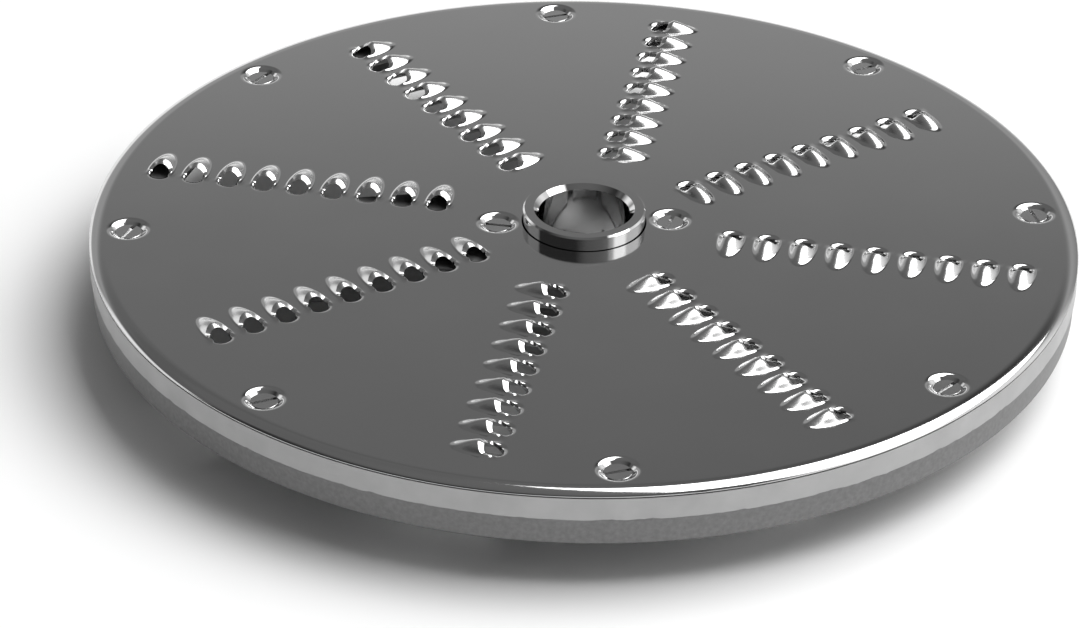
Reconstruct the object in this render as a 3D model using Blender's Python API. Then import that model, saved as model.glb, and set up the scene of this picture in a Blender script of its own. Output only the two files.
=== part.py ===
"""Grating disc: a pressed steel grating plate screwed to a cast aluminium carrier on a turned hub."""

import math

import bmesh
import bpy
from mathutils import Matrix, Vector

MM = 0.001

# Heights above the table that the hub stands on
PLATE_TOP = 21.9 * MM
HUB_RISE = 3.1 * MM

# Grating plate
DISC_RADIUS = 102.5 * MM
SHEET = 1.2 * MM
EDGE_ROUND = 1.9 * MM
PLATE_HOLE_CLEARANCE = 0.5 * MM

# Grating teeth: eight rows, in which opposite rows start at the same radius
ROWS = 8
ROW_ANGLE = math.radians(-10.5)
TOOTH_PITCH = 7.53 * MM
FIRST_TOOTH_RADII = (31.2 * MM, 26.6 * MM, 29.65 * MM, 28.35 * MM)
TOOTHLESS_RIM = 9.5 * MM
TOOTH_HALF_WIDTH = 2.75 * MM
TOOTH_HEIGHT = 2.5 * MM
TOOTH_LENGTH = 6.6 * MM
TAIL_HALF_WIDTH = 1.25 * MM
TAIL_HEIGHT = 0.2 * MM
BACK_FROM_TAIL = 3.0 * MM
BACK_HALF_WIDTH = 2.35 * MM
BACK_HEIGHT = 1.6 * MM
LIP_SETBACK = 0.95 * MM
LIP_LEAN = 1.9 * MM
LIP_WALL = 0.8 * MM
SIDE_WALL = 0.48 * MM
HOLLOW_FROM_TAIL = 1.0 * MM
HOLLOW_TAIL_HALF_WIDTH = 0.7 * MM
HOLE_SIDES = 0.9 * MM
HOLE_SHOULDER = 2.2 * MM
HOLE_SHOULDER_HALF_WIDTH = 1.8 * MM
HOLE_REACH = 2.9 * MM
HOLE_TIP_HALF_WIDTH = 0.8 * MM
HOLE_ROLL = 0.8 * MM

# Carrier casting
GAP = 0.3 * MM
RIM_DEPTH = 12.2 * MM
MACHINED_BAND = 6.3 * MM
CAST_INSET = 0.2 * MM
RIM_DRAFT = 0.2 * MM
FLANGE_WIDTH = 13.5 * MM
FLANGE_DEPTH = 6.2 * MM
SKIRT_WALL = 3.7 * MM
EDGE_BREAK = 0.5 * MM
BOSS_WALL = 7.75 * MM
BOSS_DEPTH = 14.0 * MM
ARM_HALF_WIDTH = 12.5 * MM
ARM_DEPTH = 11.0 * MM
ARM_DRAFT = 0.4 * MM
ARM_FLARE_LENGTH = 85.0 * MM
RIM_FLARE = 3.0 * MM
RIM_FLARE_LENGTH = 12.0 * MM

# Hub sleeve
BORE_RADIUS = 9.5 * MM
HUB_WALL = 3.25 * MM
HUB_RADIUS = BORE_RADIUS + HUB_WALL
HUB_CHAMFER = 0.6 * MM
BORE_CHAMFER = 1.0 * MM
FOOT_WIDTH = 3.25 * MM
FOOT_CHAMFER = 0.8 * MM
DRIVE_SLOT_WIDTH = 6.2 * MM
DRIVE_SLOT_DEPTH = 5.0 * MM

# Countersunk screws in pressed dimples
RIM_SCREWS = 8
RIM_SCREW_INSET = 8.1 * MM
HUB_SCREW_OFFSET = 5.25 * MM
SCREW_LINE = math.radians(4.5)
DIMPLE_RADIUS = 4.0 * MM
DIMPLE_FLOOR = 0.12 * MM
SHANK_RADIUS = 1.5 * MM
HEAD_RADIUS = 2.8 * MM
HEAD_EDGE = 0.15 * MM
SHANK_LENGTH = 5.0 * MM
SLOT_WIDTH = 0.8 * MM
SLOT_DEPTH = 0.7 * MM
RIM_SLOT_ANGLES = (-74, 30, 20, 54, 67, 25, 20, 48)
HUB_SLOT_ANGLES = (76, -9)

# Facets round each turned form
DISC_STEPS = 80
HUB_STEPS = 40
SCREW_STEPS = 12
DIMPLE_STEPS = 10
EDGE_STEPS = 3
ARCH_STEPS = 4
OUTLINE_STEPS = 10

# How far a cutter reaches past the face that it opens
REACH = 2.0 * MM


def clear_scene():
    for old in list(bpy.data.objects):
        bpy.data.objects.remove(old, do_unlink=True)


def metal(name, colour, roughness):
    material = bpy.data.materials.new(name)
    material.use_nodes = True
    shader = material.node_tree.nodes["Principled BSDF"]
    shader.inputs["Base Color"].default_value = (*colour, 1.0)
    shader.inputs["Metallic"].default_value = 1.0
    shader.inputs["Roughness"].default_value = roughness
    return material


def add_object(name, mesh, material=None):
    made = bpy.data.objects.new(name, mesh)
    bpy.context.scene.collection.objects.link(made)
    if material:
        mesh.materials.append(material)
    return made


def finished_mesh(name, shape):
    bmesh.ops.recalc_face_normals(shape, faces=shape.faces)
    mesh = bpy.data.meshes.new(name)
    shape.to_mesh(mesh)
    shape.free()
    return mesh


def shade(mesh):
    mesh.shade_smooth()
    mesh.set_sharp_from_angle(angle=math.radians(30))


def turned_mesh(name, profile, steps, place=None):
    """A closed profile of (radius, height) points, turned about the Z axis."""
    shape = bmesh.new()
    corners = [shape.verts.new((radius, 0.0, height)) for radius, height in profile]
    edges = [shape.edges.new((corners[i - 1], corners[i])) for i in range(len(corners))]
    bmesh.ops.spin(
        shape,
        geom=edges,
        axis=(0, 0, 1),
        cent=(0, 0, 0),
        angle=math.tau,
        steps=steps,
        use_merge=True,
    )
    bmesh.ops.remove_doubles(shape, verts=shape.verts, dist=1e-7)
    loose = [edge for edge in shape.edges if not edge.link_faces]
    bmesh.ops.delete(shape, geom=loose, context="EDGES")
    if place:
        bmesh.ops.transform(shape, matrix=place, verts=shape.verts)
    return finished_mesh(name, shape)


def add_loft(shape, sections, place):
    """Joins equal rings of points end to end and closes both ends."""
    rings = [[shape.verts.new(place @ Vector(point)) for point in section] for section in sections]
    for back, front in zip(rings, rings[1:]):
        for i in range(len(back)):
            shape.faces.new((back[i - 1], back[i], front[i], front[i - 1]))
    shape.faces.new(rings[0])
    shape.faces.new(reversed(rings[-1]))


def join_meshes(name, meshes):
    shape = bmesh.new()
    for mesh in meshes:
        shape.from_mesh(mesh)
    return finished_mesh(name, shape)


def add_boolean(target, operand, operation):
    operand.hide_render = True
    operand.display_type = "WIRE"
    modifier = target.modifiers.new(operand.name, "BOOLEAN")
    modifier.operation = operation
    modifier.solver = "EXACT"
    modifier.object = operand


def turned_place(angle, radius, height=0.0):
    """Moves out from the axis along an angle, with local X pointing outwards."""
    return Matrix.Rotation(angle, 4, "Z") @ Matrix.Translation((radius, 0.0, height))


def screw_places():
    """Angle, radius and slot angle of every screw, the rim's first."""
    rim = [
        (SCREW_LINE + math.tau * i / RIM_SCREWS, DISC_RADIUS - RIM_SCREW_INSET, slot)
        for i, slot in enumerate(RIM_SLOT_ANGLES)
    ]
    hub = [
        (SCREW_LINE + math.pi * i, HUB_RADIUS + HUB_SCREW_OFFSET, slot)
        for i, slot in enumerate(HUB_SLOT_ANGLES)
    ]
    return rim, hub


def tooth_places():
    """Each tooth's frame: local X along the row, local Y towards the mouth."""
    places = []
    for row in range(ROWS):
        angle = ROW_ANGLE + math.tau * row / ROWS
        radius = FIRST_TOOTH_RADII[row % len(FIRST_TOOTH_RADII)]
        while radius <= DISC_RADIUS - TOOTHLESS_RIM:
            places.append(turned_place(angle, radius, PLATE_TOP))
            radius += TOOTH_PITCH
    return places


def arch(half_width, along, springing, rise, foot, lean=0.0, roll=0.0):
    """A section across the tooth: an arch that leans back as it rises, over two legs down to a foot."""
    points = [(half_width, along - roll, foot)]
    for i in range(ARCH_STEPS + 1):
        turn = math.pi * i / ARCH_STEPS
        lift = rise * math.sin(turn)
        points.append((half_width * math.cos(turn), along - lean * lift, springing + lift))
    points.append((-half_width, along - roll, foot))
    return points


def tooth_skin():
    """Raised outside of one tooth, from its tail to its leaning lip."""
    tail = -LIP_SETBACK - TOOTH_LENGTH
    lean = LIP_LEAN / TOOTH_HEIGHT
    foot = -SHEET / 2
    return [
        arch(TAIL_HALF_WIDTH, tail, 0.0, TAIL_HEIGHT, foot),
        arch(BACK_HALF_WIDTH, tail + BACK_FROM_TAIL, 0.0, BACK_HEIGHT, foot),
        arch(TOOTH_HALF_WIDTH, -LIP_SETBACK, 0.0, TOOTH_HEIGHT, foot, lean),
    ]


def tooth_hollow():
    """Space inside one tooth and the pierced hole before it, cut from below the sheet."""
    tail = HOLLOW_FROM_TAIL - LIP_SETBACK - TOOTH_LENGTH
    lean = LIP_LEAN / TOOTH_HEIGHT
    inner = TOOTH_HALF_WIDTH - SIDE_WALL
    rise = TOOTH_HEIGHT - LIP_WALL
    foot = -SHEET - REACH
    roll = HOLE_ROLL * -foot / SHEET
    return [
        arch(HOLLOW_TAIL_HALF_WIDTH, tail, -SHEET, TAIL_HEIGHT, foot),
        arch(inner, -LIP_SETBACK, 0.0, rise, foot, lean),
        arch(inner, HOLE_SIDES, 0.0, rise, foot),
        arch(HOLE_SHOULDER_HALF_WIDTH, HOLE_SHOULDER, 0.0, rise, foot, 0.0, roll),
        arch(HOLE_TIP_HALF_WIDTH, HOLE_REACH, 0.0, rise, foot, 0.0, roll),
    ]


def dimple_skirt(bottom):
    """Half section of the 45 degree cone that the sheet forms below itself, down to a flat bottom."""
    wide = DIMPLE_RADIUS + SHEET
    top = -SHEET / 2
    return [(0.0, bottom), (wide + bottom, bottom), (wide + top, top), (0.0, top)]


def dimple_bottom():
    """Depth at which the dimple's inner cone has shrunk to the hole for the shank."""
    return SHANK_RADIUS + GAP - DIMPLE_RADIUS


def build_plate():
    hole = HUB_RADIUS + PLATE_HOLE_CLEARANCE
    flat = DISC_RADIUS - EDGE_ROUND
    profile = [(hole, PLATE_TOP - SHEET), (DISC_RADIUS, PLATE_TOP - SHEET)]
    for i in range(1, EDGE_STEPS + 1):
        turn = math.radians(90) * i / EDGE_STEPS
        profile.append((flat + EDGE_ROUND * math.cos(turn), PLATE_TOP - SHEET * (1 - math.sin(turn))))
    profile.append((hole, PLATE_TOP))
    steel = metal("polished_steel", (0.62, 0.62, 0.62), 0.18)
    plate = add_object("grating_plate", turned_mesh("grating_plate", profile, DISC_STEPS), steel)

    rim, hub = screw_places()
    bottom = dimple_bottom()
    dimples = []
    drills = []
    for angle, radius, _ in rim + hub:
        place = turned_place(angle, radius, PLATE_TOP)
        outside = dimple_skirt(bottom - DIMPLE_FLOOR)
        inside = [(0.0, bottom - REACH), (SHANK_RADIUS + GAP, bottom - REACH)]
        inside += [(SHANK_RADIUS + GAP, bottom), (DIMPLE_RADIUS + REACH, REACH), (0.0, REACH)]
        dimples.append(turned_mesh("dimple", outside, DIMPLE_STEPS, place))
        drills.append(turned_mesh("dimple_inside", inside, DIMPLE_STEPS, place))

    skins = bmesh.new()
    hollows = bmesh.new()
    for place in tooth_places():
        add_loft(skins, tooth_skin(), place)
        add_loft(hollows, tooth_hollow(), place)
    added = join_meshes("plate_pressings", [finished_mesh("skins", skins), *dimples])
    removed = join_meshes("plate_openings", [finished_mesh("hollows", hollows), *drills])
    add_boolean(plate, add_object("plate_pressings", added), "UNION")
    add_boolean(plate, add_object("plate_openings", removed), "DIFFERENCE")
    return plate


def rim_profile():
    top = PLATE_TOP - SHEET - GAP
    band = PLATE_TOP - MACHINED_BAND
    bottom = PLATE_TOP - RIM_DEPTH
    cast = DISC_RADIUS - CAST_INSET
    foot = cast - RIM_DRAFT
    flange = PLATE_TOP - FLANGE_DEPTH
    inside = foot - SKIRT_WALL
    hole = DISC_RADIUS - FLANGE_WIDTH
    return [
        (hole, top),
        (hole, flange),
        (inside - EDGE_BREAK - RIM_DRAFT, flange),
        (inside - RIM_DRAFT, flange - EDGE_BREAK),
        (inside, bottom),
        (foot - EDGE_BREAK, bottom),
        (foot, bottom + EDGE_BREAK),
        (cast, band - CAST_INSET),
        (DISC_RADIUS, band),
        (DISC_RADIUS, top),
    ]


def crossbar_half_width(distance):
    """Half width of the crossbar at a distance from the axis: it swells into the boss and into the rim."""
    width = ARM_HALF_WIDTH
    near_hub = 1.0 - distance / ARM_FLARE_LENGTH
    if near_hub > 0.0:
        width += (HUB_RADIUS + BOSS_WALL - ARM_HALF_WIDTH) * near_hub**2
    near_rim = 1.0 - (DISC_RADIUS - FLANGE_WIDTH - distance) / RIM_FLARE_LENGTH
    if near_rim > 0.0:
        width += RIM_FLARE * near_rim**2
    return width


def crossbar_mesh():
    """A bar right across the carrier, which ends in the middle of the rim's wall."""
    end = DISC_RADIUS - CAST_INSET - RIM_DRAFT - SKIRT_WALL / 2
    stations = [end * (i / OUTLINE_STEPS - 1) for i in range(2 * OUTLINE_STEPS + 1)]
    outline = []
    for distance in stations:
        half = crossbar_half_width(min(abs(distance), DISC_RADIUS - FLANGE_WIDTH))
        reach = math.copysign(math.sqrt(end**2 - half**2), distance)
        outline.append((reach if abs(distance) == end else distance, half))
    outline += [(-x, -y) for x, y in outline]
    place = Matrix.Rotation(SCREW_LINE, 4, "Z")
    shape = bmesh.new()
    top = PLATE_TOP - SHEET - GAP
    bottom = PLATE_TOP - ARM_DEPTH
    lower = [(x, y - math.copysign(ARM_DRAFT, y), bottom) for x, y in outline]
    add_loft(shape, [lower, [(x, y, top) for x, y in outline]], place)
    return finished_mesh("crossbar", shape)


def build_carrier():
    aluminium = metal("cast_aluminium", (0.72, 0.72, 0.73), 0.42)
    carrier = add_object("carrier_ring", turned_mesh("carrier_ring", rim_profile(), DISC_STEPS), aluminium)
    add_boolean(carrier, add_object("crossbar", crossbar_mesh()), "UNION")

    top = PLATE_TOP - SHEET - GAP
    bottom = PLATE_TOP - BOSS_DEPTH
    wide = HUB_RADIUS + BOSS_WALL
    boss = [
        (0.0, bottom),
        (wide - EDGE_BREAK, bottom),
        (wide, bottom + EDGE_BREAK),
        (wide, top),
        (0.0, top),
    ]
    add_boolean(carrier, add_object("boss", turned_mesh("boss", boss, HUB_STEPS)), "UNION")

    bore = HUB_RADIUS + GAP
    bore_profile = [(0.0, bottom - REACH), (bore, bottom - REACH), (bore, top + REACH), (0.0, top + REACH)]
    cutters = [turned_mesh("hub_bore", bore_profile, HUB_STEPS)]
    rim, hub = screw_places()
    seat_floor = dimple_bottom() - DIMPLE_FLOOR - GAP
    for angle, radius, _ in rim + hub:
        wide = DIMPLE_RADIUS + SHEET + math.sqrt(2) * GAP
        drill = SHANK_RADIUS + GAP
        seat = [
            (0.0, -FLANGE_DEPTH - REACH),
            (drill, -FLANGE_DEPTH - REACH),
            (drill, seat_floor),
            (wide + seat_floor, seat_floor),
            (wide, 0.0),
            (0.0, 0.0),
        ]
        cutters.append(turned_mesh("screw_seat", seat, DIMPLE_STEPS, turned_place(angle, radius, PLATE_TOP)))
    openings = join_meshes("carrier_openings", cutters)
    add_boolean(carrier, add_object("carrier_openings", openings), "DIFFERENCE")
    return carrier


def build_hub():
    top = PLATE_TOP + HUB_RISE
    collar = PLATE_TOP - BOSS_DEPTH - GAP
    foot = HUB_RADIUS + FOOT_WIDTH
    profile = [
        (BORE_RADIUS + BORE_CHAMFER, 0.0),
        (foot - FOOT_CHAMFER, 0.0),
        (foot, FOOT_CHAMFER),
        (foot, collar - FOOT_CHAMFER),
        (foot - FOOT_CHAMFER, collar),
        (HUB_RADIUS, collar),
        (HUB_RADIUS, top - HUB_CHAMFER),
        (HUB_RADIUS - HUB_CHAMFER, top),
        (BORE_RADIUS + BORE_CHAMFER, top),
        (BORE_RADIUS, top - BORE_CHAMFER),
        (BORE_RADIUS, BORE_CHAMFER),
    ]
    steel = metal("turned_steel", (0.6, 0.6, 0.6), 0.16)
    hub = add_object("hub_sleeve", turned_mesh("hub_sleeve", profile, HUB_STEPS), steel)
    slot = bmesh.new()
    size = (2 * foot + REACH, DRIVE_SLOT_WIDTH, 2 * DRIVE_SLOT_DEPTH)
    bmesh.ops.create_cube(slot, size=1.0, matrix=Matrix.Diagonal((*size, 1.0)))
    add_boolean(hub, add_object("drive_slot", finished_mesh("drive_slot", slot)), "DIFFERENCE")
    return hub


def screw_mesh():
    """Slotted countersunk screw, with the plate's top as its zero height."""
    cone = DIMPLE_RADIUS - math.sqrt(2) * GAP
    head = HEAD_RADIUS - cone
    neck = SHANK_RADIUS - cone
    tip = neck - SHANK_LENGTH
    profile = [
        (0.0, tip),
        (SHANK_RADIUS - HEAD_EDGE, tip),
        (SHANK_RADIUS, tip + HEAD_EDGE),
        (SHANK_RADIUS, neck),
        (HEAD_RADIUS, head),
        (HEAD_RADIUS, head + HEAD_EDGE),
        (0.0, head + HEAD_EDGE),
    ]
    return turned_mesh("screw", profile, SCREW_STEPS), head + HEAD_EDGE


def build_screws():
    steel = metal("screw_steel", (0.58, 0.58, 0.58), 0.22)
    mesh, head_top = screw_mesh()
    mesh.materials.append(steel)
    slot = bmesh.new()
    size = (2 * HEAD_RADIUS + REACH, SLOT_WIDTH, 2 * SLOT_DEPTH)
    place = Matrix.Translation((0, 0, head_top)) @ Matrix.Diagonal((*size, 1.0))
    bmesh.ops.create_cube(slot, size=1.0, matrix=place)
    slot_mesh = finished_mesh("screw_slot", slot)
    rim, hub = screw_places()
    named = [(f"rim_screw_{i + 1}", place) for i, place in enumerate(rim)]
    named += [(f"hub_screw_{i + 1}", place) for i, place in enumerate(hub)]
    for name, (angle, radius, slot_angle) in named:
        turn = Matrix.Rotation(math.radians(slot_angle) - angle, 4, "Z")
        matrix = turned_place(angle, radius, PLATE_TOP) @ turn
        screw = add_object(name, mesh)
        cutter = add_object(f"slot_of_{name}", slot_mesh)
        screw.matrix_world = matrix
        cutter.matrix_world = matrix
        add_boolean(screw, cutter, "DIFFERENCE")


def main():
    clear_scene()
    plate = build_plate()
    carrier = build_carrier()
    hub = build_hub()
    build_screws()
    for turned in (plate, carrier, hub, bpy.data.objects["rim_screw_1"]):
        shade(turned.data)


main()
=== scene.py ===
"""Visual model of a grating disc: toothed plate, cast carrier, turned hub and slotted screws."""

import math

import bmesh
import bpy
from bpy.props import FloatProperty, FloatVectorProperty, IntProperty, PointerProperty
from mathutils import Matrix, Vector


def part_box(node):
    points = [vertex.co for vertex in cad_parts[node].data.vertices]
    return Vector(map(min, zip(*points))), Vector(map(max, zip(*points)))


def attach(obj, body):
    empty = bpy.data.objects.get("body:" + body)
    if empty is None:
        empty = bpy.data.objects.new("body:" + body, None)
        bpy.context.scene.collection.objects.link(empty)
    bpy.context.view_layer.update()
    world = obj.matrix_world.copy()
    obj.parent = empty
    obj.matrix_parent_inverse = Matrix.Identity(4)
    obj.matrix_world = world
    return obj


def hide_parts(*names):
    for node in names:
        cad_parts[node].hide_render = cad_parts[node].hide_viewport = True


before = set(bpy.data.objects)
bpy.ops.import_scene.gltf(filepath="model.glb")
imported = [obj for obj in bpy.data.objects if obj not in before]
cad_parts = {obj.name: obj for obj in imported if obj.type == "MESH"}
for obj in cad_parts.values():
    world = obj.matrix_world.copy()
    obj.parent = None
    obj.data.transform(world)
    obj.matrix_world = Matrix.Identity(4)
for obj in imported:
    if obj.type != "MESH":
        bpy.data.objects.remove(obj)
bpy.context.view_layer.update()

bl_info = {
    "name": "Grating Disc",
    "version": (1, 0, 0),
    "blender": (4, 5, 0),
    "location": "View3D > Sidebar > Grating Disc",
    "description": "Builds a toothed grating disc on its carrier, with a plain studio round it",
    "category": "Add Mesh",
}

MM = 0.001
PLATE_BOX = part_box("grating_plate")
HUB_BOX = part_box("hub_sleeve")

# Rows of teeth and screws, as the solids have them
ROW_ANGLE = math.radians(-10.5)
ROWS = 8
TEETH_PER_ROW = 9
FIRST_TOOTH_RADII = (31.2 * MM, 26.6 * MM, 29.65 * MM, 28.35 * MM)
SCREW_LINE = math.radians(4.5)
RIM_SCREW_RADIUS = 94.4 * MM
HUB_SCREW_RADIUS = 18.0 * MM
RIM_SLOT_ANGLES = (-74, 30, 20, 54, 67, 25, 20, 48)
HUB_SLOT_ANGLES = (76, -9)

# Gap between pieces that touch on the real disc, as the solids keep it
GAP = 0.3 * MM

# How far a cutting shape reaches past what it cuts
REACH = 2.0 * MM

# Angle in degrees above which an edge stays sharp
SHARP = 25.0


# Settings


class PlateSettings(bpy.types.PropertyGroup):
    top: FloatProperty(
        name="Top", description="Height of the plate's top face", default=21.9 * MM, unit="LENGTH"
    )
    radius: FloatProperty(
        name="Radius", description="Radius of the disc", default=PLATE_BOX[1][0], unit="LENGTH"
    )
    sheet: FloatProperty(
        name="Sheet", description="Thickness of the sheet", default=1.2 * MM, unit="LENGTH"
    )
    edge_round: FloatProperty(
        name="Edge round",
        description="Width of the rounded edge",
        default=2.9 * MM,
        unit="LENGTH",
    )
    hub_hole: FloatProperty(
        name="Hub hole",
        description="Radius of the hole round the hub",
        default=13.0 * MM,
        unit="LENGTH",
    )
    pitch: FloatProperty(
        name="Pitch",
        description="Distance between the teeth of a row",
        default=7.53 * MM,
        unit="LENGTH",
    )
    dimple: FloatProperty(
        name="Dimple",
        description="Radius of the dimple round a screw",
        default=4.0 * MM,
        unit="LENGTH",
    )
    colour: FloatVectorProperty(
        name="Colour",
        description="Colour of the steel",
        default=(0.62, 0.62, 0.62),
        subtype="COLOR",
    )


class CarrierSettings(bpy.types.PropertyGroup):
    depth: FloatProperty(
        name="Depth",
        description="Depth of the rim below the plate's top",
        default=12.2 * MM,
        unit="LENGTH",
    )
    band: FloatProperty(
        name="Machined band",
        description="Depth of the rim's machined band below the plate's top",
        default=6.3 * MM,
        unit="LENGTH",
    )
    steps: IntProperty(name="Steps", description="Facets round the rim", default=256)


class HubSettings(bpy.types.PropertyGroup):
    bore: FloatProperty(
        name="Bore", description="Radius of the bore", default=9.5 * MM, unit="LENGTH"
    )
    radius: FloatProperty(
        name="Radius", description="Outer radius", default=12.75 * MM, unit="LENGTH"
    )
    foot: FloatProperty(
        name="Foot", description="Radius of the foot", default=16.0 * MM, unit="LENGTH"
    )
    steps: IntProperty(name="Steps", description="Facets round the hub", default=160)


class ScrewSettings(bpy.types.PropertyGroup):
    head: FloatProperty(
        name="Head", description="Radius of the head", default=2.8 * MM, unit="LENGTH"
    )
    shank: FloatProperty(
        name="Shank", description="Radius of the shank", default=1.5 * MM, unit="LENGTH"
    )
    slot: FloatProperty(
        name="Slot", description="Width of the slot", default=0.8 * MM, unit="LENGTH"
    )


class StageSettings(bpy.types.PropertyGroup):
    floor: FloatVectorProperty(
        name="Floor", description="Colour of the floor", subtype="COLOR", default=(0.94, 0.94, 0.94)
    )
    key: FloatProperty(name="Key", description="Brightness of the softbox", default=4.3)


# Shared helpers


def smooth_step(low, high, value):
    share = min(max((value - low) / (high - low), 0.0), 1.0)
    return share * share * (3.0 - 2.0 * share)


def turned_place(angle, radius, height):
    """A place at a radius and a height, turned about Z."""
    return Matrix.Rotation(angle, 4, "Z") @ Matrix.Translation((radius, 0.0, height))


def screw_places():
    """Node, angle, radius and slot angle of every screw."""
    places = []
    for node, radius, slot_angles in (
        ("rim_screw", RIM_SCREW_RADIUS, RIM_SLOT_ANGLES),
        ("hub_screw", HUB_SCREW_RADIUS, HUB_SLOT_ANGLES),
    ):
        for i, slot_angle in enumerate(slot_angles):
            angle = SCREW_LINE + math.tau * i / len(slot_angles)
            places.append((f"{node}_{i + 1}", angle, radius, slot_angle))
    return places


def new_mesh(name, shape):
    """Writes a bmesh to a new mesh and frees it."""
    mesh = bpy.data.meshes.new(name)
    shape.to_mesh(mesh)
    shape.free()
    return mesh


def shade(mesh, angle):
    """Smooth shading, but for the edges above an angle in degrees."""
    mesh.shade_smooth()
    mesh.set_sharp_from_angle(angle=math.radians(angle))


def turned_mesh(name, profile, steps, place=None, closed=True):
    """A profile of (radius, height) points turned about Z, with its seam and poles welded."""
    shape = bmesh.new()
    corners = [shape.verts.new((radius, 0.0, height)) for radius, height in profile]
    first = 0 if closed else 1
    edges = [shape.edges.new((corners[i - 1], corners[i])) for i in range(first, len(corners))]
    bmesh.ops.spin(
        shape,
        geom=edges,
        axis=(0, 0, 1),
        cent=(0, 0, 0),
        angle=math.tau,
        steps=steps,
        use_merge=True,
    )
    bmesh.ops.remove_doubles(shape, verts=shape.verts, dist=1e-7)
    loose = [edge for edge in shape.edges if not edge.link_faces]
    bmesh.ops.delete(shape, geom=loose, context="EDGES")
    if place:
        bmesh.ops.transform(shape, matrix=place, verts=shape.verts)
    bmesh.ops.recalc_face_normals(shape, faces=shape.faces)
    return new_mesh(name, shape)


def box_mesh(name, size, place):
    """A box with its centre at a place."""
    shape = bmesh.new()
    bmesh.ops.create_cube(shape, size=1.0, matrix=place @ Matrix.Diagonal((*size, 1.0)))
    return new_mesh(name, shape)


def joined_mesh(name, meshes):
    shape = bmesh.new()
    for mesh in meshes:
        shape.from_mesh(mesh)
    return new_mesh(name, shape)


def baked_boolean(name, target, operand, operation):
    """A mesh made from two meshes by an exact Boolean."""
    scene = bpy.context.scene
    first = bpy.data.objects.new(f"{name}_first", target)
    second = bpy.data.objects.new(f"{name}_second", operand)
    for helper in (first, second):
        scene.collection.objects.link(helper)
    modifier = first.modifiers.new("join", "BOOLEAN")
    modifier.operation = operation
    modifier.solver = "EXACT"
    modifier.object = second
    graph = bpy.context.evaluated_depsgraph_get()
    mesh = bpy.data.meshes.new_from_object(first.evaluated_get(graph))
    mesh.name = name
    for helper in (first, second):
        bpy.data.objects.remove(helper, do_unlink=True)
    return mesh


def add_piece(name, mesh, material, node):
    piece = bpy.data.objects.new(name, mesh)
    bpy.context.scene.collection.objects.link(piece)
    mesh.materials.append(material)
    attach(piece, "root")
    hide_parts(node)


# Tooth cell: a patch of sheet with one pressed, pierced tooth, X across it and Y towards its mouth.
# The tooth's outside and inside are elliptic paraboloids, each cut by a lip that leans back.
# A share of 0 to 1 goes round the hole, from its front over the right side, the lip and the left.
# The rings go from the cell's border over the top to the hole's edge, and back below to the border.

CELL_SEGMENTS = 60
OUTSIDE_RINGS = 9
INSIDE_RINGS = 4
CELL_RINGS = OUTSIDE_RINGS + INSIDE_RINGS + 5

# The cell's front and back, and the place along its sides that the mouth's corners face
CELL_FRONT = 4.3 * MM
CELL_BACK = -8.9 * MM
CELL_WAIST = -1.6 * MM

# How the points of a half border share out: across the front and down to the waist, then down to
# the back and across it
FRONT_PARTS = (1.0, 2.0)
BACK_PARTS = (10.0, 4.0)

# The mouth, and each form's half width, length and height, with how softly it leaves the sheet
MOUTH = -0.95 * MM
OUTSIDE = (2.65 * MM, 6.8 * MM, 1.98 * MM)
INSIDE = (2.62 * MM, 6.3 * MM, 2.43 * MM)
OUTSIDE_EASE = 0.28
INSIDE_EASE = 0.06

# Each lip's half width and setback behind the mouth
OUTER_LIP = (2.5 * MM, 1.85 * MM)
INNER_LIP = (1.75 * MM, 0.75 * MM)
LIP_SQUARENESS = 0.8

HOLE_HALF_WIDTH = 2.1 * MM
HOLE_FRONT = 1.75 * MM
HOLE_SQUARENESS = 0.8
FLARE_START = 0.6 * MM

# The sheet rolls down towards the front of the hole
ROLL_START = 3.1 * MM
ROLL_DEPTH = 1.0 * MM
ROLL_FADE = 2.4 * MM
ROLL_SHARES = (0.2, 0.5)
ROLL_SQUARENESS = 0.9

# Share of the way from a form's foot to the border where the first flat ring lies
GUARD = 0.12


def power(value, exponent):
    return max(value, 0.0) ** exponent


def mirrored(share):
    """A share of the way round as a side and a share of the way from the front to the back."""
    return (1.0, share * 2.0) if share <= 0.5 else (-1.0, 2.0 - share * 2.0)


def hole_side(turn, corner):
    """Plan of the hole's edge from its front, at 0, to the lip's corner at a quarter turn."""
    across = HOLE_HALF_WIDTH * power(math.sin(turn), HOLE_SQUARENESS)
    along = MOUTH + (HOLE_FRONT - MOUTH) * math.cos(turn)
    flare = smooth_step(FLARE_START, MOUTH, along)
    return across + (corner - HOLE_HALF_WIDTH) * flare, along


def lip_point(turn, lip):
    """Plan of a lip's edge, from its right corner at 0 to its middle at a quarter turn."""
    half_width, setback = lip
    across = half_width * power(math.cos(turn), LIP_SQUARENESS)
    return across, MOUTH - setback * power(math.sin(turn), LIP_SQUARENESS)


def edge_point(share, lip):
    """Plan of the hole's edge, or of the lip's edge behind the mouth."""
    side, way = mirrored(share)
    if way <= 0.5:
        across, along = hole_side(math.pi * way, lip[0])
    else:
        across, along = lip_point(math.pi * (way - 0.5), lip)
    return Vector((side * across, along))


def foot_point(share, form, ease):
    """Plan of the line round the tooth and the roll beyond which the sheet is flat."""
    side, way = mirrored(share)
    half_width, length, _ = form
    grown = math.sqrt(1.0 + ease)
    turn = math.pi * abs(way - 0.5)
    if way <= 0.5:
        across = half_width * grown * power(math.cos(turn), ROLL_SQUARENESS)
        return Vector((side * across, MOUTH + (ROLL_START - MOUTH) * math.sin(turn)))
    across = half_width * grown * max(math.cos(turn), 0.0)
    return Vector((side * across, MOUTH - length * grown * math.sin(turn)))


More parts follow.
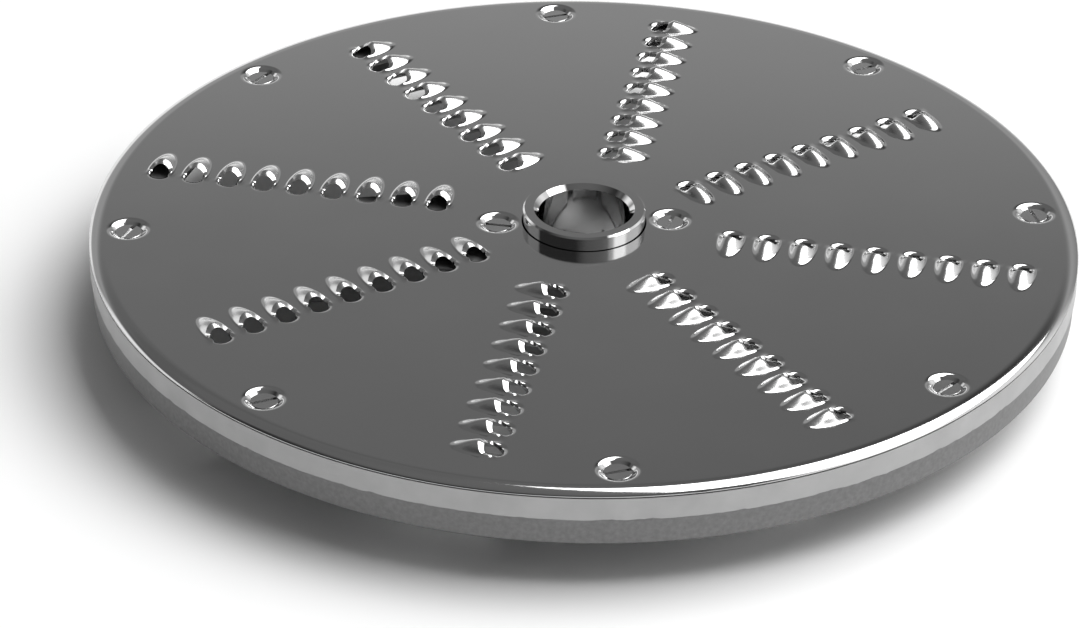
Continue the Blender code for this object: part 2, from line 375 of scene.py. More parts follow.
def border_point(share, half_pitch):
    """Plan of the cell's border, opposite the same share of the hole's edge."""
    side, way = mirrored(share)
    if way <= 0.5:
        front, flank = FRONT_PARTS
        step = (front + flank) * way / 0.5
        if step <= front:
            return Vector((side * half_pitch * step / front, CELL_FRONT))
        along = CELL_FRONT + (CELL_WAIST - CELL_FRONT) * (step - front) / flank
        return Vector((side * half_pitch, along))
    flank, back = BACK_PARTS
    step = (flank + back) * (way - 0.5) / 0.5
    if step <= flank:
        return Vector((side * half_pitch, CELL_WAIST + (CELL_BACK - CELL_WAIST) * step / flank))
    return Vector((side * half_pitch * (flank + back - step) / back, CELL_BACK))


def eased(value, width):
    """The value where it is positive, with its start from nothing rounded off."""
    if value <= -width:
        return 0.0
    return value if value >= width else (value + width) ** 2 / (4.0 * width)


def pressed(place, form, ease):
    """Height of a paraboloid that rises from the sheet behind the mouth and fades out before it."""
    half_width, length, height = form
    along = min(place.y - MOUTH, 0.0) / length
    rise = height * eased(1.0 - (place.x / half_width) ** 2 - along**2, ease)
    return rise * (1.0 - smooth_step(MOUTH, MOUTH + ROLL_FADE, place.y))


def cell_point(share, ring, settings):
    """The point of the cell at a share of the way round and on a ring."""
    above = ring <= OUTSIDE_RINGS + 2
    if above:
        form, ease, lip, rings = OUTSIDE, OUTSIDE_EASE, OUTER_LIP, OUTSIDE_RINGS
        step, sheet_height = ring, 0.0
    else:
        form, ease, lip, rings = INSIDE, INSIDE_EASE, INNER_LIP, INSIDE_RINGS
        step, sheet_height = CELL_RINGS - ring, -settings.sheet
    foot = foot_point(share, form, ease)
    if step <= 1:
        border = border_point(share, settings.pitch / 2)
        place = border if step == 0 else foot.lerp(border, GUARD)
        return place.x, place.y, sheet_height
    way = (1.0 - math.cos(math.pi * (step - 2) / rings)) / 2.0
    place = foot.lerp(edge_point(share, lip), way)
    height = sheet_height + pressed(place, form, ease)
    if above:
        depth = ROLL_DEPTH * (1.0 - smooth_step(*ROLL_SHARES, mirrored(share)[1]))
        height -= depth * (1.0 - math.sqrt(1.0 - way * way))
    return place.x, place.y, height


def tooth_cell(settings):
    shape = bmesh.new()
    bmesh.ops.create_grid(shape, x_segments=CELL_SEGMENTS, y_segments=CELL_RINGS, size=0.5)
    for corner in shape.verts:
        share = min(max(corner.co.x + 0.5, 0.0), 1.0)
        ring = round((corner.co.y + 0.5) * CELL_RINGS)
        corner.co = cell_point(share, ring, settings)
    bmesh.ops.remove_doubles(shape, verts=shape.verts, dist=1e-6)
    bmesh.ops.recalc_face_normals(shape, faces=shape.faces)
    return new_mesh("tooth_cell", shape)


# Plate: the tooth cells, the dimples, the hub's hole and the rounded edge, joined by two flat faces

DIMPLE_SLOPE = math.radians(45)
DIMPLE_ROUNDING = 1.5 * MM
DIMPLE_FACETS = 6
DIMPLE_FLOOR_SHARE = 0.1
DIMPLE_MARGIN = 0.2 * MM
EDGE_ARC = math.radians(68)
EDGE_FACETS = 12
EDGE_UPRIGHT = 0.12 * MM
EDGE_MARGIN = 0.3 * MM
EDGE_STEPS = 320
HUB_HOLE_STEPS = 112
DIMPLE_STEPS = 48
PLATE_SHARP = 40.0


def tooth_places(settings):
    places = []
    for row in range(ROWS):
        angle = ROW_ANGLE + math.tau * row / ROWS
        start = FIRST_TOOTH_RADII[row % len(FIRST_TOOTH_RADII)]
        for tooth in range(TEETH_PER_ROW):
            places.append(turned_place(angle, start + settings.pitch * tooth, settings.top))
    return places


def add_copies(shape, mesh, places):
    """Adds a copy of a mesh at each place."""
    for place in places:
        known = len(shape.verts)
        shape.from_mesh(mesh)
        shape.verts.ensure_lookup_table()
        bmesh.ops.transform(shape, matrix=place, verts=shape.verts[known:])


def dimple_profile(settings, screw):
    """Down a rounded lip and a cone to the shank's hole, and back up below them."""
    top = settings.top
    wide = settings.dimple + DIMPLE_ROUNDING * math.tan(DIMPLE_SLOPE / 2)
    points = [(wide + DIMPLE_MARGIN, top)]
    for i in range(DIMPLE_FACETS + 1):
        turn = DIMPLE_SLOPE * i / DIMPLE_FACETS
        across = wide - DIMPLE_ROUNDING * math.sin(turn)
        points.append((across, top - DIMPLE_ROUNDING * (1 - math.cos(turn))))
    hole = screw.shank + GAP
    floor = top - (settings.dimple - hole)
    below = floor - DIMPLE_FLOOR_SHARE * settings.sheet
    outside = settings.dimple + settings.sheet
    return points + [
        (hole, floor),
        (hole, below),
        (outside - (top - below), below),
        (outside - settings.sheet, top - settings.sheet),
        (wide + DIMPLE_MARGIN, top - settings.sheet),
    ]


def edge_profile(settings):
    """Over the disc's rounded edge and down a short upright, to the underside."""
    flat = settings.radius - settings.edge_round
    bottom = settings.top - settings.sheet
    fall = (settings.sheet - EDGE_UPRIGHT) / (1 - math.cos(EDGE_ARC))
    points = [(flat - EDGE_MARGIN, settings.top)]
    for i in range(EDGE_FACETS + 1):
        turn = EDGE_ARC * i / EDGE_FACETS
        across = flat + settings.edge_round * math.sin(turn) / math.sin(EDGE_ARC)
        points.append((across, settings.top - fall * (1 - math.cos(turn))))
    return points + [(settings.radius, bottom), (flat, bottom)]


def plate_mesh(settings, screw):
    shape = bmesh.new()
    add_copies(shape, tooth_cell(settings), tooth_places(settings))
    edge = turned_mesh("edge", edge_profile(settings), EDGE_STEPS, closed=False)
    add_copies(shape, edge, [Matrix()])
    bottom = settings.top - settings.sheet
    hole = [(settings.hub_hole, settings.top), (settings.hub_hole, bottom)]
    add_copies(shape, turned_mesh("hub_hole", hole, HUB_HOLE_STEPS, closed=False), [Matrix()])
    dimple = turned_mesh("dimple", dimple_profile(settings, screw), DIMPLE_STEPS, closed=False)
    places = [turned_place(angle, radius, 0.0) for _, angle, radius, _ in screw_places()]
    add_copies(shape, dimple, places)
    bmesh.ops.remove_doubles(shape, verts=shape.verts, dist=2e-6)
    free = [edge for edge in shape.edges if len(edge.link_faces) == 1]
    middle = settings.top - settings.sheet / 2
    for level in (True, False):
        loops = [edge for edge in free if (edge.verts[0].co.z > middle) == level]
        bmesh.ops.triangle_fill(
            shape, use_beauty=True, use_dissolve=False, edges=loops, normal=(0, 0, 1)
        )
    bmesh.ops.recalc_face_normals(shape, faces=shape.faces)
    mesh = new_mesh("plate_skin", shape)
    shade(mesh, PLATE_SHARP)
    return mesh


# Carrier

FLANGE_RADIUS = 89.0 * MM
FLANGE_DEPTH = 6.2 * MM
SKIRT_WALL = 3.7 * MM
RIM_DRAFT = 0.2 * MM
CAST_INSET = 0.2 * MM
EDGE_BREAK = 0.5 * MM
BOSS_RADIUS = 20.5 * MM
BOSS_DEPTH = 14.0 * MM
BOSS_ROUNDING = 1.0 * MM
BOSS_STEPS = 96
ARM_HALF_WIDTH = 12.5 * MM
ARM_DEPTH = 11.0 * MM
ARM_ROUNDING = 1.2 * MM
ARM_ROUNDING_SEGMENTS = 4
ARM_FLARE_LENGTH = 85.0 * MM
RIM_FLARE = 3.0 * MM
RIM_FLARE_LENGTH = 12.0 * MM
OUTLINE_STEPS = 32
SEAT_STEPS = 32


def carrier_top(plate):
    return plate.top - plate.sheet - GAP


def rim_profile(carrier, plate):
    top = carrier_top(plate)
    band = plate.top - carrier.band
    bottom = plate.top - carrier.depth
    cast = plate.radius - CAST_INSET
    foot = cast - RIM_DRAFT
    flange = plate.top - FLANGE_DEPTH
    inside = foot - SKIRT_WALL
    return [
        (FLANGE_RADIUS, top),
        (FLANGE_RADIUS, flange),
        (inside - EDGE_BREAK - RIM_DRAFT, flange),
        (inside - RIM_DRAFT, flange - EDGE_BREAK),
        (inside, bottom),
        (foot - EDGE_BREAK, bottom),
        (foot, bottom + EDGE_BREAK),
        (cast, band - CAST_INSET),
        (plate.radius, band),
        (plate.radius, top),
    ]


def crossbar_half_width(distance):
    """Half the crossbar's width, which grows towards the boss and towards the rim."""
    width = ARM_HALF_WIDTH
    near_hub = 1.0 - distance / ARM_FLARE_LENGTH
    if near_hub > 0.0:
        width += (BOSS_RADIUS - ARM_HALF_WIDTH) * near_hub**2
    near_rim = 1.0 - (FLANGE_RADIUS - distance) / RIM_FLARE_LENGTH
    if near_rim > 0.0:
        width += RIM_FLARE * near_rim**2
    return width


def crossbar_mesh(plate):
    """A bar on the hub screws' line, ending inside the rim, with its edges rounded."""
    end = plate.radius - CAST_INSET - RIM_DRAFT - SKIRT_WALL / 2
    outline = []
    for i in range(2 * OUTLINE_STEPS + 1):
        distance = end * (i / OUTLINE_STEPS - 1)
        half = crossbar_half_width(min(abs(distance), FLANGE_RADIUS))
        reach = math.copysign(math.sqrt(end**2 - half**2), distance)
        outline.append((reach if abs(distance) == end else distance, half))
    outline += [(-x, -y) for x, y in outline]
    top = carrier_top(plate)
    shape = bmesh.new()
    face = shape.faces.new([shape.verts.new((x, y, top)) for x, y in outline])
    made = bmesh.ops.extrude_face_region(shape, geom=[face])["geom"]
    lower = [item for item in made if isinstance(item, bmesh.types.BMVert)]
    bmesh.ops.translate(shape, vec=(0, 0, plate.top - ARM_DEPTH - top), verts=lower)
    bmesh.ops.bevel(
        shape,
        geom=[item for item in made if isinstance(item, bmesh.types.BMEdge)],
        offset=ARM_ROUNDING,
        segments=ARM_ROUNDING_SEGMENTS,
        profile=0.5,
        affect="EDGES",
        material=-1,
    )
    bmesh.ops.rotate(shape, matrix=Matrix.Rotation(SCREW_LINE, 3, "Z"), verts=shape.verts)
    bmesh.ops.recalc_face_normals(shape, faces=shape.faces)
    return new_mesh("crossbar", shape)


def boss_mesh(plate):
    top = carrier_top(plate)
    bottom = plate.top - BOSS_DEPTH
    shoulder = 0.3 * BOSS_ROUNDING
    profile = [
        (0.0, bottom),
        (BOSS_RADIUS - BOSS_ROUNDING, bottom),
        (BOSS_RADIUS - shoulder, bottom + shoulder),
        (BOSS_RADIUS, bottom + BOSS_ROUNDING),
        (BOSS_RADIUS, top),
        (0.0, top),
    ]
    return turned_mesh("boss", profile, BOSS_STEPS)


def carrier_cuts(plate, hub, screw):
    """The hub's bore, and under each dimple a seat and the shank's hole."""
    bore = hub.radius + GAP
    above = carrier_top(plate) + REACH
    below = plate.top - BOSS_DEPTH - REACH
    profile = [(0.0, below), (bore, below), (bore, above), (0.0, above)]
    cuts = [turned_mesh("bore", profile, BOSS_STEPS)]
    drill = screw.shank + GAP
    floor = screw.shank - plate.dimple - DIMPLE_FLOOR_SHARE * plate.sheet
    wide = plate.dimple + plate.sheet + math.sqrt(2) * GAP
    below = -FLANGE_DEPTH - REACH
    profile = [
        (0.0, below),
        (drill, below),
        (drill, floor),
        (wide + floor, floor),
        (wide, 0.0),
        (0.0, 0.0),
    ]
    for _, angle, radius, _ in screw_places():
        place = turned_place(angle, radius, plate.top)
        cuts.append(turned_mesh("seat", profile, SEAT_STEPS, place))
    return joined_mesh("cuts", cuts)


def carrier_mesh(carrier, plate, hub, screw):
    name = "carrier_ring"
    mesh = turned_mesh(name, rim_profile(carrier, plate), carrier.steps)
    mesh = baked_boolean(name, mesh, crossbar_mesh(plate), "UNION")
    mesh = baked_boolean(name, mesh, boss_mesh(plate), "UNION")
    mesh = baked_boolean(name, mesh, carrier_cuts(plate, hub, screw), "DIFFERENCE")
    shade(mesh, SHARP)
    return mesh


# Hub

HUB_CHAMFER = 0.35 * MM
BORE_CHAMFER = 1.0 * MM
FOOT_CHAMFER = 0.8 * MM
DRIVE_SLOT_WIDTH = 6.2 * MM
DRIVE_SLOT_DEPTH = 5.0 * MM


def hub_mesh(hub, plate):
    top = HUB_BOX[1][2]
    collar = plate.top - BOSS_DEPTH - GAP
    profile = [
        (hub.bore + BORE_CHAMFER, 0.0),
        (hub.foot - FOOT_CHAMFER, 0.0),
        (hub.foot, FOOT_CHAMFER),
        (hub.foot, collar - FOOT_CHAMFER),
        (hub.foot - FOOT_CHAMFER, collar),
        (hub.radius, collar),
        (hub.radius, top - HUB_CHAMFER),
        (hub.radius - HUB_CHAMFER, top),
        (hub.bore + BORE_CHAMFER, top),
        (hub.bore, top - BORE_CHAMFER),
        (hub.bore, BORE_CHAMFER),
    ]
    size = (2 * hub.foot + REACH, DRIVE_SLOT_WIDTH, 2 * DRIVE_SLOT_DEPTH)
    slot = box_mesh("drive_slot", size, Matrix())
    mesh = baked_boolean("hub_body", turned_mesh("hub", profile, hub.steps), slot, "DIFFERENCE")
    shade(mesh, SHARP)
    return mesh


# Screws

HEAD_EDGE = 0.15 * MM
SHANK_LENGTH = 5.0 * MM
SCREW_SLOT_DEPTH = 0.7 * MM
SCREW_STEPS = 48


def screw_mesh(screw, plate):
    """Slotted countersunk screw, with the plate's top as its zero height."""
    cone = plate.dimple - math.sqrt(2) * GAP
    head = screw.head - cone
    top = head + HEAD_EDGE
    neck = screw.shank - cone
    tip = neck - SHANK_LENGTH
    profile = [
        (0.0, tip),
        (screw.shank - HEAD_EDGE, tip),
        (screw.shank, tip + HEAD_EDGE),
        (screw.shank, neck),
        (screw.head, head),
        (screw.head, head + HEAD_EDGE / 2),
        (screw.head - HEAD_EDGE / 2, top),
        (0.0, top),
    ]
    size = (4 * screw.head, screw.slot, 2 * SCREW_SLOT_DEPTH)
    slot = box_mesh("slot", size, Matrix.Translation((0, 0, top)))
    return baked_boolean("screw", turned_mesh("screw", profile, SCREW_STEPS), slot, "DIFFERENCE")


# Materials. Noise scales are per metre.

BUFFED_SCALE = 45.0
BUFFED_ROUGHNESS = (0.05, 0.13)
TOOTH_ROUGHNESS = (0.2, 0.28)
TOOTH_HEIGHTS = (0.02 * MM, 0.5 * MM)
WAVE_SCALE = 22.0

BAND_HEIGHTS = (-0.15 * MM, 0.05 * MM)
BAND_WANDER = 0.6 * MM
BAND_WANDER_SCALE = 260.0
BAND_WALL = 1.0 * MM
GRAIN_SCALE = 1100.0
CAST_TONE = (0.13, 0.25)
CAST_ROUGHNESS = (0.38, 0.50)
CAST_METALLIC = 0.75
BLOTCH_SCALE = 130.0
MACHINED_TONE = (0.34, 0.50)
MACHINED_ROUGHNESS = (0.40, 0.52)
MACHINED_METALLIC = 0.65
TOOL_LINES_SCALE = 5000.0
TOOL_LINES_STRETCH = (0.02, 0.02, 1.0)

TURNED_TONE = (0.62, 0.62, 0.62, 1.0)
TURNED_SCALE = 120.0
TURNED_SPREAD = 0.3
HUB_ROUGHNESS = 0.06
SCREW_ROUGHNESS = 0.2


def new_material(name):
    material = bpy.data.materials.new(name)
    material.use_nodes = True
    tree = material.node_tree
    return material, tree.nodes, tree.links, tree.nodes["Principled BSDF"]


def add_node(nodes, kind, **settings):
    node = nodes.new(kind)
    for key, value in settings.items():
        setattr(node, key, value)
    return node


def noise_value(nodes, links, coords, scale, detail):
    noise = add_node(nodes, "ShaderNodeTexNoise")
    noise.inputs["Scale"].default_value = scale
    noise.inputs["Detail"].default_value = detail
    links.new(coords, noise.inputs["Vector"])
    return noise.outputs["Fac"]


def ranged_value(nodes, links, value, target=(0.0, 1.0), source=(0.0, 1.0)):
    """Maps a value from one range to another, and stops at its ends."""
    spread = add_node(nodes, "ShaderNodeMapRange")
    spread.inputs["From Min"].default_value, spread.inputs["From Max"].default_value = source
    spread.inputs["To Min"].default_value, spread.inputs["To Max"].default_value = target
    links.new(value, spread.inputs["Value"])
    return spread.outputs["Result"]


def mixed_value(nodes, links, share, low, high):
    mix = add_node(nodes, "ShaderNodeMix")
    links.new(share, mix.inputs["Factor"])
    links.new(low, mix.inputs["A"])
    links.new(high, mix.inputs["B"])
    return mix.outputs["Result"]


def joined_value(nodes, links, operation, first, second):
    join = add_node(nodes, "ShaderNodeMath", operation=operation)
    links.new(first, join.inputs[0])
    links.new(second, join.inputs[1])
    return join.outputs["Value"]


def scaled_vector(nodes, links, vector, scale):
    stretch = add_node(nodes, "ShaderNodeVectorMath", operation="MULTIPLY")
    links.new(vector, stretch.inputs[0])
    stretch.inputs[1].default_value = scale
    return stretch.outputs["Vector"]


def height_of(nodes, links, coords):
    split = add_node(nodes, "ShaderNodeSeparateXYZ")
    links.new(coords, split.inputs["Vector"])
    return split.outputs["Z"]


def radius_of(nodes, links, coords):
    length = add_node(nodes, "ShaderNodeVectorMath", operation="LENGTH")
    links.new(scaled_vector(nodes, links, coords, (1.0, 1.0, 0.0)), length.inputs[0])
    return length.outputs["Value"]


def link_bump(nodes, links, shader, height, strength, distance):
    bump = add_node(nodes, "ShaderNodeBump")
    bump.inputs["Strength"].default_value = strength
    bump.inputs["Distance"].default_value = distance
    links.new(height, bump.inputs["Height"])
    links.new(bump.outputs["Normal"], shader.inputs["Normal"])


def polished_steel(settings):
    """Nearly a mirror on the flat, duller on the teeth."""
    material, nodes, links, shader = new_material("polished_steel")
    coords = add_node(nodes, "ShaderNodeTexCoord").outputs["Object"]
    shader.inputs["Base Color"].default_value = (*settings.colour, 1.0)
    shader.inputs["Metallic"].default_value = 1.0
    smudge = noise_value(nodes, links, coords, BUFFED_SCALE, 4.0)
    heights = [settings.top + height for height in TOOTH_HEIGHTS]
    raised = ranged_value(nodes, links, height_of(nodes, links, coords), source=heights)
    buffed = ranged_value(nodes, links, smudge, BUFFED_ROUGHNESS)
    dull = ranged_value(nodes, links, smudge, TOOTH_ROUGHNESS)
    links.new(mixed_value(nodes, links, raised, buffed, dull), shader.inputs["Roughness"])
    wave = noise_value(nodes, links, coords, WAVE_SCALE, 2.0)
    link_bump(nodes, links, shader, wave, 0.05, 0.2 * MM)
    return material


def cast_aluminium(band_height, wall):
    """Machined above a height and outside a radius, as cast elsewhere."""
    material, nodes, links, shader = new_material("cast_aluminium")
    coords = add_node(nodes, "ShaderNodeTexCoord").outputs["Object"]
    wander = noise_value(nodes, links, coords, BAND_WANDER_SCALE, 2.0)
    wander = ranged_value(nodes, links, wander, (-BAND_WANDER, BAND_WANDER))
    height = joined_value(nodes, links, "ADD", height_of(nodes, links, coords), wander)
    above = ranged_value(nodes, links, height, source=[band_height + edge for edge in BAND_HEIGHTS])
    radius = radius_of(nodes, links, coords)
    outside = ranged_value(nodes, links, radius, source=(wall - BAND_WALL, wall))
    band = joined_value(nodes, links, "MULTIPLY", above, outside)

    metallic = ranged_value(nodes, links, band, (CAST_METALLIC, MACHINED_METALLIC))
    links.new(metallic, shader.inputs["Metallic"])
    grain = noise_value(nodes, links, coords, GRAIN_SCALE, 3.0)
    blotch = noise_value(nodes, links, coords, BLOTCH_SCALE, 3.0)
    for socket, cast_range, machined_range in (
        ("Base Color", CAST_TONE, MACHINED_TONE),
        ("Roughness", CAST_ROUGHNESS, MACHINED_ROUGHNESS),
    ):
        cast = ranged_value(nodes, links, grain, cast_range)
        machined = ranged_value(nodes, links, blotch, machined_range)
        links.new(mixed_value(nodes, links, band, cast, machined), shader.inputs[socket])

    stretched = scaled_vector(nodes, links, coords, TOOL_LINES_STRETCH)
    lines = noise_value(nodes, links, stretched, TOOL_LINES_SCALE, 2.0)
    relief = mixed_value(nodes, links, band, grain, lines)
    link_bump(nodes, links, shader, relief, 0.3, 0.06 * MM)
    return material


def turned_steel(name, roughness):
    material, nodes, links, shader = new_material(name)
    coords = add_node(nodes, "ShaderNodeTexCoord").outputs["Object"]
    shader.inputs["Base Color"].default_value = TURNED_TONE
    shader.inputs["Metallic"].default_value = 1.0
    smudge = noise_value(nodes, links, coords, TURNED_SCALE, 3.0)
    spread = (roughness * (1.0 - TURNED_SPREAD), roughness * (1.0 + TURNED_SPREAD))
    links.new(ranged_value(nodes, links, smudge, spread), shader.inputs["Roughness"])
    return material


# Studio

# Screens of light, as levels by bearing and by height in degrees. Bearings run from +X to +Y, so 90
# is behind the disc and -90 is the camera's side. The screens add up, over a dim room.
SCREENS = (
    # Low backdrop at the right and behind
    (
        ((-32, 0.0), (-26, 1.0), (131, 1.0), (143, 0.0)),
        ((0, 0.25), (12, 0.3), (25, 0.4), (27, 0.33), (30, 0.16), (33.4, 0.06), (38, 0.0)),
    ),
    # Bright foot of the backdrop, behind and to the left
    (
        ((68, 0.0), (86, 1.0), (131, 1.0), (143, 0.0)),
        ((0, 0.9), (8, 0.8), (12, 0.1), (22, 0.0)),
    ),
    # Tall screen at the right, brightest high up
    (
        ((-34, 0.0), (-28, 1.0), (32, 1.0), (50, 0.0)),
        ((0, 0.8), (20, 0.7), (35, 0.9), (52, 1.8), (60, 0.0)),
    ),
    # Right screen's front end
    (
        ((-44, 0.0), (-30, 1.0), (-8, 1.0), (0, 0.0)),
        ((0, 0.3), (10, 1.0), (36, 1.0), (46, 0.0)),
    ),
    # Window at the far left
    (
        ((134, 0.0), (144, 1.0), (175, 1.0), (180, 0.0)),
        ((2, 0.0), (6, 1.2), (24, 1.2), (32, 0.0)),
    ),
    # Room on the camera's side, brightest low and at the right
    (
        ((-105, 0.0), (-85, 0.5), (-55, 0.7), (-40, 1.1), (-32, 0.0)),
        ((0, 1.0), (14, 0.9), (24, 0.3), (34, 0.2), (44, 0.0)),
    ),
    # Faint wall behind and at the left, above the backdrop
    (
        ((70, 0.0), (90, 1.0), (170, 1.0), (180, 0.0)),
        ((29, 0.0), (36, 0.11), (46, 0.11), (60, 0.0)),
    ),
    # Faint ceiling
    (
        ((-180, 1.0), (180, 1.0)),
        ((44, 0.0), (60, 0.12), (90, 0.14)),
    ),
)
ROOM_LEVEL = 0.04

SOFTBOX_BEARING = math.radians(21)
SOFTBOX_HEIGHT = math.radians(60)
SOFTBOX_DISTANCE = 2.2
SOFTBOX_SIZE = (2.1, 2.0)

FLOOR_RADIUS = 6.0
FLOOR_ROUGHNESS = 0.9

# Camera, at the viewing angle of the photograph
CAMERA_PLACE = (0.0, -0.7813, 0.46981)
CAMERA_TURN = (math.radians(58.927), math.radians(-0.7839), math.radians(1.1207))
CAMERA_LENS = 144.325
CAMERA_CLIP = (0.01, 20.0)


def build_floor(settings):
    shape = bmesh.new()
    bmesh.ops.create_circle(shape, cap_ends=True, radius=FLOOR_RADIUS, segments=64)
    mesh = new_mesh("floor", shape)
    floor = bpy.data.objects.new("floor", mesh)
    bpy.context.scene.collection.objects.link(floor)
    material, _, _, shader = new_material("floor")
    shader.inputs["Base Color"].default_value = (*settings.floor, 1.0)
    shader.inputs["Roughness"].default_value = FLOOR_ROUGHNESS
    shader.inputs["Specular IOR Level"].default_value = 0.0
    mesh.materials.append(material)


def level_ramp(nodes, stops):
    """A ramp of greys through (place, level) stops."""
    ramp = add_node(nodes, "ShaderNodeValToRGB")
    while len(ramp.color_ramp.elements) < len(stops):
        ramp.color_ramp.elements.new(1.0)
    for element, (place, level) in zip(ramp.color_ramp.elements, stops):
        element.position = place
        element.color = (level, level, level, 1.0)
    return ramp


def build_world():
    """The screens of light, which only reflections show. The camera itself sees white."""
    world = bpy.data.worlds.new("studio")
    bpy.context.scene.world = world
    world.use_nodes = True
    nodes = world.node_tree.nodes
    links = world.node_tree.links
    nodes.clear()
    coords = add_node(nodes, "ShaderNodeTexCoord")
    split = add_node(nodes, "ShaderNodeSeparateXYZ")
    links.new(coords.outputs["Generated"], split.inputs["Vector"])
    bearing = joined_value(nodes, links, "ARCTAN2", split.outputs["Y"], split.outputs["X"])
    bearing = ranged_value(nodes, links, bearing, source=(-math.pi, math.pi))
    total = add_node(nodes, "ShaderNodeRGB").outputs["Color"]
    total.default_value = (ROOM_LEVEL, ROOM_LEVEL, ROOM_LEVEL, 1.0)
    for by_bearing, by_height in SCREENS:
        sides = level_ramp(nodes, [((180.0 + angle) / 360.0, level) for angle, level in by_bearing])
        heights = level_ramp(
            nodes, [(math.sin(math.radians(angle)), level) for angle, level in by_height]
        )
        links.new(bearing, sides.inputs["Fac"])
        links.new(split.outputs["Z"], heights.inputs["Fac"])
        screen = add_node(nodes, "ShaderNodeVectorMath", operation="MULTIPLY_ADD")
        links.new(sides.outputs["Color"], screen.inputs[0])
        links.new(heights.outputs["Color"], screen.inputs[1])
        links.new(total, screen.inputs[2])
        total = screen.outputs["Vector"]
    path = add_node(nodes, "ShaderNodeLightPath")
    seen = add_node(nodes, "ShaderNodeMix", data_type="RGBA")
    links.new(path.outputs["Is Camera Ray"], seen.inputs["Factor"])
    links.new(total, seen.inputs["A"])
    seen.inputs["B"].default_value = (1, 1, 1, 1)
    background = add_node(nodes, "ShaderNodeBackground")
    links.new(seen.outputs["Result"], background.inputs["Color"])
    output = add_node(nodes, "ShaderNodeOutputWorld")
    links.new(background.outputs["Background"], output.inputs["Surface"])


def build_softbox(settings):
    """A rectangular light of even brightness that faces the disc."""
    across, up = SOFTBOX_SIZE
    place = Vector((
        math.cos(SOFTBOX_HEIGHT) * math.cos(SOFTBOX_BEARING),
        math.cos(SOFTBOX_HEIGHT) * math.sin(SOFTBOX_BEARING),
        math.sin(SOFTBOX_HEIGHT),
    ))
    light = bpy.data.lights.new("softbox", "AREA")
    light.shape = "RECTANGLE"
    light.size, light.size_y = across, up
    light.energy = settings.key * math.pi * across * up
    lamp = bpy.data.objects.new("softbox", light)
    lamp.location = SOFTBOX_DISTANCE * place
    lamp.rotation_euler = (-place).to_track_quat("-Z", "Y").to_euler()
    bpy.context.scene.collection.objects.link(lamp)


def build_camera():
    camera = bpy.data.cameras.new("camera")
    camera.lens = CAMERA_LENS
    camera.clip_start, camera.clip_end = CAMERA_CLIP
    view = bpy.data.objects.new("camera", camera)
    view.location = CAMERA_PLACE
    view.rotation_euler = CAMERA_TURN
    bpy.context.scene.collection.objects.link(view)
    bpy.context.scene.camera = view


# Operators


class GRATER_OT_stage(bpy.types.Operator):
    """Makes the floor, the studio light and the camera"""

    bl_idname = "grater.stage"
    bl_label = "Stage"

    def execute(self, context):
        settings = context.scene.grater_stage
        build_floor(settings)
        build_world()
        build_softbox(settings)
        build_camera()
        context.scene.view_settings.view_transform = "Standard"
        return {"FINISHED"}


class GRATER_OT_plate(bpy.types.Operator):
    """Makes the grating plate with its teeth and dimples"""

    bl_idname = "grater.plate"
    bl_label = "Plate"

    def execute(self, context):
        plate = context.scene.grater_plate
        mesh = plate_mesh(plate, context.scene.grater_screw)
        add_piece("plate_skin", mesh, polished_steel(plate), "grating_plate")
        return {"FINISHED"}


class GRATER_OT_carrier(bpy.types.Operator):
    """Makes the cast carrier with its rim, flange, crossbar and boss"""

    bl_idname = "grater.carrier"
    bl_label = "Carrier"

    def execute(self, context):
        scene = context.scene
        plate = scene.grater_plate
        carrier = scene.grater_carrier
        mesh = carrier_mesh(carrier, plate, scene.grater_hub, scene.grater_screw)
        material = cast_aluminium(plate.top - carrier.band, plate.radius - SKIRT_WALL / 2)
        add_piece("carrier_casting", mesh, material, "carrier_ring")
        return {"FINISHED"}


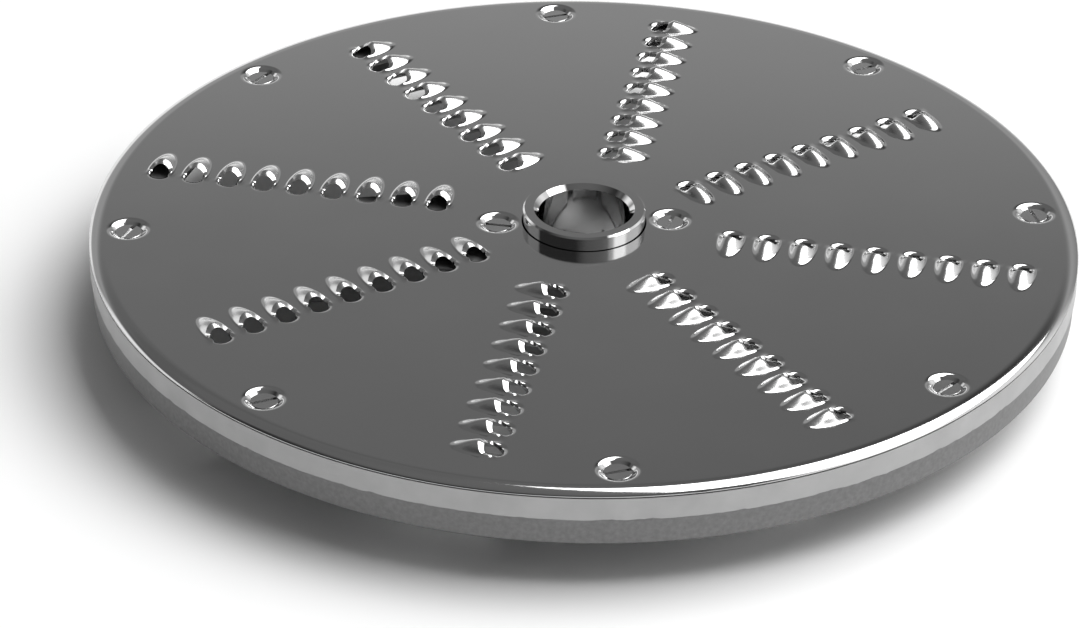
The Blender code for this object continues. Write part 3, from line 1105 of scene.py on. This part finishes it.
class GRATER_OT_hub(bpy.types.Operator):
    """Makes the turned hub with its bore, chamfers, foot and drive slot"""

    bl_idname = "grater.hub"
    bl_label = "Hub"

    def execute(self, context):
        mesh = hub_mesh(context.scene.grater_hub, context.scene.grater_plate)
        material = turned_steel("turned_steel", HUB_ROUGHNESS)
        add_piece("hub_body", mesh, material, "hub_sleeve")
        return {"FINISHED"}


class GRATER_OT_screws(bpy.types.Operator):
    """Makes the slotted countersunk screws of the rim and the hub"""

    bl_idname = "grater.screws"
    bl_label = "Screws"

    def execute(self, context):
        plate = context.scene.grater_plate
        model = screw_mesh(context.scene.grater_screw, plate)
        material = turned_steel("screw_steel", SCREW_ROUGHNESS)
        for node, angle, radius, slot_angle in screw_places():
            mesh = model.copy()
            turn = Matrix.Rotation(math.radians(slot_angle) - angle, 4, "Z")
            mesh.transform(turned_place(angle, radius, plate.top) @ turn)
            shade(mesh, SHARP)
            add_piece(f"{node}_body", mesh, material, node)
        return {"FINISHED"}


# Each group of settings, with the operator that uses it
GROUPS = (
    ("grater_plate", PlateSettings, GRATER_OT_plate),
    ("grater_carrier", CarrierSettings, GRATER_OT_carrier),
    ("grater_hub", HubSettings, GRATER_OT_hub),
    ("grater_screw", ScrewSettings, GRATER_OT_screws),
    ("grater_stage", StageSettings, GRATER_OT_stage),
)


class GRATER_PT_panel(bpy.types.Panel):
    """Shows every setting, with a button for each operator"""

    bl_idname = "GRATER_PT_panel"
    bl_label = "Grating Disc"
    bl_space_type = "VIEW_3D"
    bl_region_type = "UI"
    bl_category = "Grating Disc"

    def draw(self, context):
        for name, group, operator in GROUPS:
            for key in group.__annotations__:
                self.layout.prop(getattr(context.scene, name), key)
            self.layout.operator(operator.bl_idname)


def register():
    for name, group, operator in GROUPS:
        bpy.utils.register_class(group)
        setattr(bpy.types.Scene, name, PointerProperty(type=group))
        bpy.utils.register_class(operator)
    bpy.utils.register_class(GRATER_PT_panel)


def unregister():
    bpy.utils.unregister_class(GRATER_PT_panel)
    for name, group, operator in reversed(GROUPS):
        bpy.utils.unregister_class(operator)
        delattr(bpy.types.Scene, name)
        bpy.utils.unregister_class(group)


def main():
    register()
    bpy.ops.grater.stage()
    bpy.ops.grater.plate()
    bpy.ops.grater.carrier()
    bpy.ops.grater.hub()
    bpy.ops.grater.screws()


if __name__ == "__main__":
    main()
